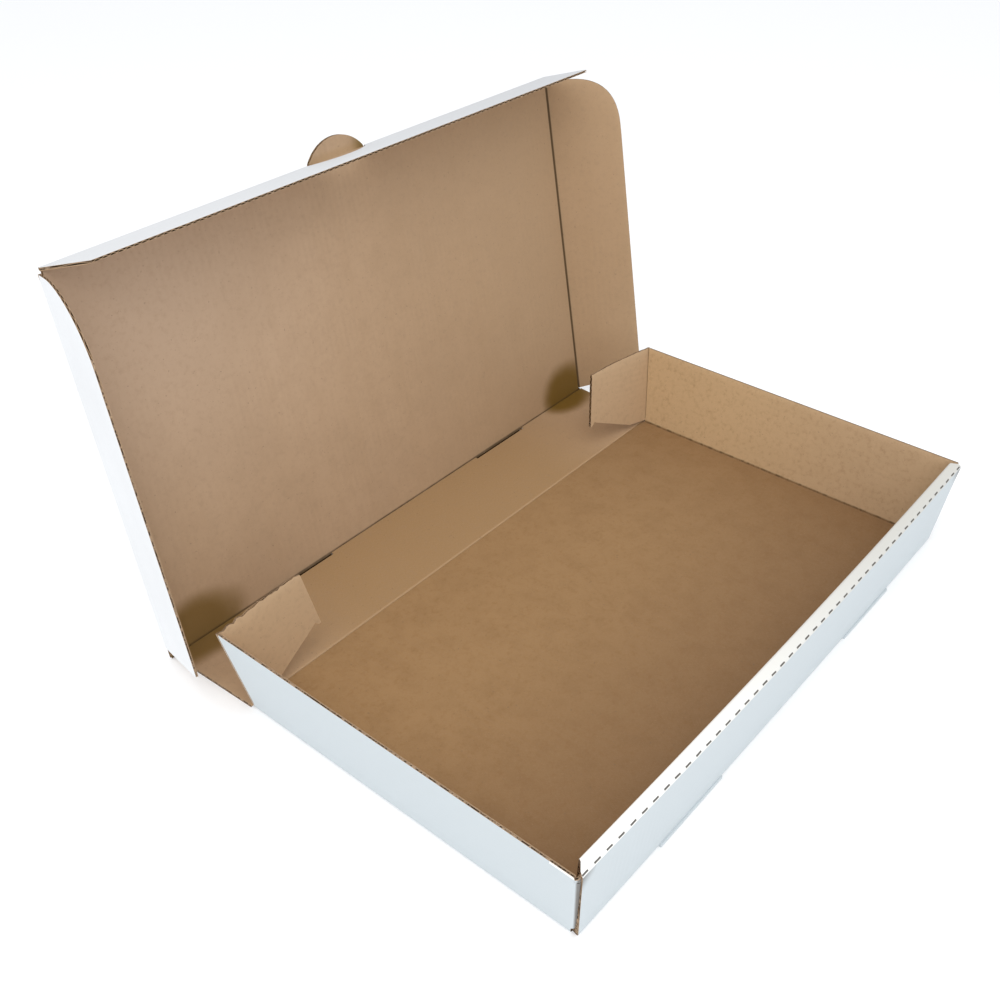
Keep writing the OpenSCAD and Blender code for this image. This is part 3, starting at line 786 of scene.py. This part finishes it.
def white_material(cfg, name="white_liner", perforation=None):
    """Bleached liner: faint washboard, faint mottling, a few specks, and the cuts of the perforated fold."""
    m = Material(name)
    base = tuple(cfg.white)
    wave = (m.a * (2 * pi / cfg.flute_pitch)).sin()
    blotch = m.noise(7.0, 3.0, 0.6)
    mottle = m.noise(150.0, 4.0, 0.62)
    grain = m.noise(1500.0, 2.0, 0.6)
    speck = m.noise(700.0, 1.0, 0.4).ramp(0.775, 0.81)
    scuff = m.noise(1.0, 4.0, 0.62, stretch=(26.0, 60.0)).ramp(0.66, 0.78)
    colour = m.mix(blotch.ramp(0.3, 0.75), shade(base, 0.975), shade(base, 1.02))
    colour = m.mix(mottle.ramp(0.35, 0.8) * 0.25, colour, shade(tint(base, 0.985, 0.99, 1), 0.93))
    colour = m.mix(wave.ramp(-1.1, 1.1) * 0.05, colour, shade(base, 0.86))
    colour = m.mix(scuff * 0.10, colour, (0.66, 0.60, 0.52))
    colour = m.mix(speck * 0.40, colour, (0.40, 0.34, 0.28))
    height = wave * 0.20 + mottle * 0.22 + grain * 0.12
    if name == "white_liner_front_shaded":
        # painted shade: the front flap's white is greyed, more so towards the right
        colour = m.mix(m.x.ramp(-280 * MM, 280 * MM) * 0.35 + 0.55, colour, (0.59, 0.595, 0.605))
    if perforation is not None:
        top = m.z.above(81.6 * MM) * m.y.below(-150 * MM)
        plumb = m.y + m.z * tan(FRONT_LEAN)
        shaded = plumb.ramp(-160.0 * MM, -161.4 * MM) * plumb.ramp(-163.3 * MM, -162.7 * MM)
        shaded = shaded * m.z.below(81 * MM) * m.x.abs().above(275 * MM)
        # painted light on the tray's white: the top strip lighter, fading darker towards the right, and the faces
        # below it a shaded grey-cyan copy; shaded is a painted shadow in the gap at the front corners
        strip = m.mix(m.x.ramp(-270 * MM, 200 * MM), (0.98, 0.97, 0.92), (0.60, 0.585, 0.53))
        colour = m.mix(top, m.mix(0.88, colour, (0.560, 0.615, 0.640)), m.mix(0.85, colour, strip))
        colour = m.mix(shaded * 0.85, colour, (0.12, 0.10, 0.08))
        wobble = (m.noise(90.0, 2.0) - 0.5) * 0.5 * MM
        line = (m.b - perforation + wobble).abs()
        phase = (m.a / CUT_PITCH + 40.0 + (m.noise(35.0, 1.0) - 0.5) * 0.14).frac()
        cut = (phase - 0.5).abs().ramp(0.265, 0.225)
        fold = m.z.above(70 * MM) * m.y.below(-150 * MM)
        dash = cut * line.ramp(0.42 * MM, 0.26 * MM) * fold
        soft = line.ramp(2.2 * MM, 0.3 * MM) * fold
        colour = m.mix(soft * 0.08, colour, (0.55, 0.53, 0.52))
        colour = m.mix(dash * 0.95, colour, (0.075, 0.065, 0.055))
        height = height - dash * 3.0
    return m.use(colour, 0.50 + grain * 0.16, height, 0.10 * MM, 0.6)


def flute_material(cfg):
    """The medium and the cut ends of the liners: coarser brown paper."""
    m = Material("fluted_medium")
    base = tuple(cfg.raw)
    fibre = m.noise(1600.0, 3.0, 0.6)
    cloud = m.noise(160.0, 3.0, 0.6)
    colour = m.mix(fibre.ramp(0.3, 0.75), shade(base, 0.80), shade(base, 1.30))
    colour = m.mix(cloud.ramp(0.5, 0.8) * 0.6, colour, shade(tint(base, 1, 1.08, 1.2), 1.4))
    return m.use(colour, 0.85, fibre, 0.12 * MM, 0.8)


def streak_material(cfg):
    """A cut along the flutes: torn medium in fine light and dark streaks."""
    m = Material("cut_edge")
    base = tuple(cfg.raw)
    slow = m.noise(1.0, 3.0, 0.6, stretch=(30.0, 55.0))
    fine = m.noise(1.0, 3.0, 0.6, stretch=(700.0, 260.0))
    across = m.noise(620.0, 2.0, 0.6)
    tear = (slow * 0.28 + fine * 0.34 + across * 0.38).ramp(0.455, 0.575)
    colour = m.mix(tear, shade(base, 0.10), shade(tint(base, 1, 1.06, 1.15), 1.25))
    return m.use(colour, 0.88, fine, 0.4 * MM, 0.9)


# ---------------------------------------------------------------- operators

def settings():
    """The scene's sizes and colours."""
    return bpy.context.scene.catering_box


def materials(node, perforation=None):
    """The materials of the board in the order of their indices, each made once; most nodes have their own liner."""
    cfg = settings()

    def once(name, make):
        return bpy.data.materials.get(name) or make()

    kraft = {
        "tray": "kraft_liner_tray", "lid": "kraft_liner_lid", "back_wall": "kraft_liner_back",
        "lid_side_flap_right": "kraft_liner_side", "rear_corner_flap_left": "kraft_liner_corner_lit",
        "rear_corner_flap_right": "kraft_liner_corner_lit"}.get(node, "kraft_liner")
    white = {"tray": "white_liner_tray", "lid_front_flap": "white_liner_front_shaded"}.get(node, "white_liner")
    return [
        once(kraft, lambda: kraft_material(cfg, kraft)),
        once(white, lambda: white_material(cfg, white, perforation)),
        once("fluted_medium", lambda: flute_material(cfg)),
        once("cut_edge", lambda: streak_material(cfg)),
        once("crease", lambda: crease_shade_material(cfg)),
        once("cut_shadow", dark_material),
    ]


def dress(mesh, node, perforation=None):
    """Makes the piece, puts it in place of its CAD node and lets it ride on that node's body."""
    ob = mesh.finish(node + "_board", materials(node, perforation))
    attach(ob, node)
    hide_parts(node)
    return ob


class BOX_OT_tray(bpy.types.Operator):
    """Build the tray: floor, end walls and rolled-over front wall"""
    bl_idname = "box.tray"
    bl_label = "Tray"

    def execute(self, context):
        mesh, fold = tray_mesh(settings())
        dress(mesh, "tray", fold)
        return {"FINISHED"}


class BOX_OT_back(bpy.types.Operator):
    """Build the back wall and the two rear corner flaps"""
    bl_idname = "box.back"
    bl_label = "Back wall and corner flaps"

    def execute(self, context):
        cfg = settings()
        dress(back_wall_mesh(cfg), "back_wall")
        dress(corner_flap_mesh(cfg, -1, 86, 2.6 * MM), "rear_corner_flap_left")
        dress(corner_flap_mesh(cfg, 1, 82, 0.5 * MM, 0.035), "rear_corner_flap_right")
        return {"FINISHED"}


class BOX_OT_lid(bpy.types.Operator):
    """Build the lid with its thumb tab, its front flap and its side flaps"""
    bl_idname = "box.lid"
    bl_label = "Lid and its flaps"

    def execute(self, context):
        cfg = settings()
        dress(lid_mesh(cfg), "lid")
        dress(front_flap_mesh(cfg), "lid_front_flap")
        dress(side_flap_mesh(cfg, -1, 76), "lid_side_flap_left")
        dress(side_flap_mesh(cfg, 1, 56), "lid_side_flap_right")
        return {"FINISHED"}


class BOX_OT_stage(bpy.types.Operator):
    """Set the pale floor, the soft lights and the camera"""
    bl_idname = "box.stage"
    bl_label = "Stage"

    def execute(self, context):
        scene = bpy.context.scene
        size, z = FLOOR_HALF_SIZE, -FLOOR_DROP
        me = bpy.data.meshes.new("floor")
        me.from_pydata([(-size, -size, z), (size, -size, z), (size, size, z), (-size, size, z)], [], [(0, 1, 2, 3)])
        floor = bpy.data.objects.new("floor", me)
        mat = bpy.data.materials.new("pale_floor")
        mat.use_nodes = True
        bsdf = mat.node_tree.nodes["Principled BSDF"]
        bsdf.inputs["Base Color"].default_value = (0.85, 0.85, 0.85, 1)
        bsdf.inputs["Emission Color"].default_value = (1, 1, 1, 1)
        bsdf.inputs["Emission Strength"].default_value = 0.18
        bsdf.inputs["Roughness"].default_value = 0.9
        bsdf.inputs["Specular IOR Level"].default_value = 0.1
        me.materials.append(mat)
        scene.collection.objects.link(floor)

        world = bpy.data.worlds.new("studio")
        world.use_nodes = True
        world.node_tree.nodes["Background"].inputs[0].default_value = (0.95, 0.97, 1.0, 1)
        world.node_tree.nodes["Background"].inputs[1].default_value = 0.90
        scene.world = world
        scene.view_settings.view_transform = "Standard"

        for name, place, aim, width, power, tint in (
            ("key", (-0.9, -0.5, 2.1), (0, 0.05, 0.05), 1.8, settings().key_power, (1.0, 0.985, 0.96)),
            ("fill", (-1.6, -1.8, 0.9), (0, 0, 0.1), 1.6, 5.0, (0.93, 0.96, 1.0)),
        ):
            light = bpy.data.lights.new(name, "AREA")
            light.shape = "SQUARE"
            light.size = width
            light.energy = power
            light.color = tint
            ob = bpy.data.objects.new(name, light)
            ob.location = place
            ob.rotation_euler = (Vector(aim) - Vector(place)).to_track_quat("-Z", "Y").to_euler()
            scene.collection.objects.link(ob)

        az, pitch, roll = (radians(angle) for angle in CAMERA_TURN)
        fwd = Vector((sin(az) * cos(pitch), cos(az) * cos(pitch), -sin(pitch)))
        right = Vector((cos(az), -sin(az), 0))
        up = right.cross(fwd)
        cam_x = cos(roll) * right + sin(roll) * up
        cam_y = cos(roll) * up - sin(roll) * right
        cam = bpy.data.cameras.new("camera")
        cam.sensor_width = 36.0
        cam.lens = cam.sensor_width * CAMERA_FOCAL
        cam.clip_start = 0.02
        ob = bpy.data.objects.new("camera", cam)
        rot = Matrix((cam_x, cam_y, -fwd)).transposed()
        ob.matrix_world = Matrix.Translation(CAMERA_AT) @ rot.to_4x4()
        scene.collection.objects.link(ob)
        scene.camera = ob
        return {"FINISHED"}


class BOX_PT_panel(bpy.types.Panel):
    bl_label = "Catering box"
    bl_idname = "BOX_PT_panel"
    bl_space_type = "VIEW_3D"
    bl_region_type = "UI"
    bl_category = "Box"

    def draw(self, context):
        for name in ("flute_pitch", "bow", "kraft", "white", "raw", "key_power"):
            self.layout.prop(context.scene.catering_box, name)
        for op in (BOX_OT_tray, BOX_OT_back, BOX_OT_lid, BOX_OT_stage):
            self.layout.operator(op.bl_idname)


CLASSES = (BoxSettings, BOX_OT_tray, BOX_OT_back, BOX_OT_lid, BOX_OT_stage, BOX_PT_panel)


def register():
    for c in CLASSES:
        bpy.utils.register_class(c)
    bpy.types.Scene.catering_box = bpy.props.PointerProperty(type=BoxSettings)


def unregister():
    del bpy.types.Scene.catering_box
    for c in reversed(CLASSES):
        bpy.utils.unregister_class(c)


def main():
    register()
    bpy.ops.box.tray()
    bpy.ops.box.back()
    bpy.ops.box.lid()
    bpy.ops.box.stage()


if __name__ == "__main__":
    main()
